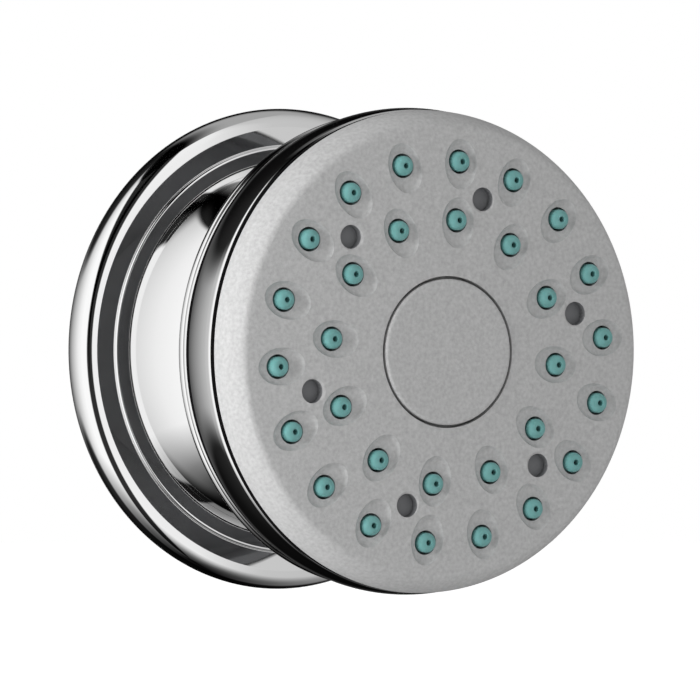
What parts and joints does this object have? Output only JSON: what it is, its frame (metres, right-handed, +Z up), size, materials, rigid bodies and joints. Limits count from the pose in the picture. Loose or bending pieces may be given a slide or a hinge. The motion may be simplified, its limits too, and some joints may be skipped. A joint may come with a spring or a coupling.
{
  "type": "shower body jet",
  "caption": "Round wall-mounted shower body jet: chrome flange, neck and bell-shaped head on a ball joint, with a domed satin face of soft spray nozzles.",
  "frame": {"origin": "centre of the inlet thread's mouth, in the plane of the wall", "axes": "+Y points into the wall, the way the supply pipe leaves the thread; the spray leaves along -Y; +Z is up"},
  "size_m": [0.0808, 0.0553, 0.0808],
  "materials": {
    "chrome": "polished chrome plate on brass",
    "satin_face": "satin silver-grey moulded face",
    "teal_silicone": "soft translucent silicone",
    "brass": "turned, unplated",
    "white_plastic": "moulded acetal",
    "black_rubber": "moulded rubber",
    "steel": "stainless steel"
  },
  "bodies": {
    "wall_base": {"wall_flange": "chrome", "flange_gasket": "black_rubber", "neck_sleeve": "chrome", "inlet_body": "brass", "inlet_washer": "black_rubber", "inlet_strainer": "white_plastic", "flow_limiter": "white_plastic", "ball_seal": "black_rubber", "front_seat": "white_plastic", "clamp_nut": "brass"},
    "swivel_seat": {"ball_seat": "white_plastic"},
    "swivel_ball": {"ball_spigot": "chrome", "spigot_seal": "black_rubber", "thrust_washer": "white_plastic", "spigot_clip": "steel"},
    "spray_head": {"bell_housing": "chrome", "chamber_gasket": "black_rubber", "backing_plate": "white_plastic", "nozzle_mat": "teal_silicone", "face_plate": "satin_face", "face_screws": "steel", "centre_cap": "satin_face"}
  },
  "joints": [
    {"name": "ball_turn", "type": "hinge", "parent": "wall_base", "child": "swivel_seat", "pos_m": [0, -0.029, 0], "axis": [0, -1, 0], "continuous": true},
    {"name": "head_tilt", "type": "hinge", "parent": "swivel_seat", "child": "swivel_ball", "pos_m": [0, -0.029, 0], "axis": [1, 0, 0], "range_deg": [-10, 10]},
    {"name": "head_spin", "type": "hinge", "parent": "swivel_ball", "child": "spray_head", "pos_m": [0, -0.029, 0], "axis": [0, -1, 0], "continuous": true}
  ]
}
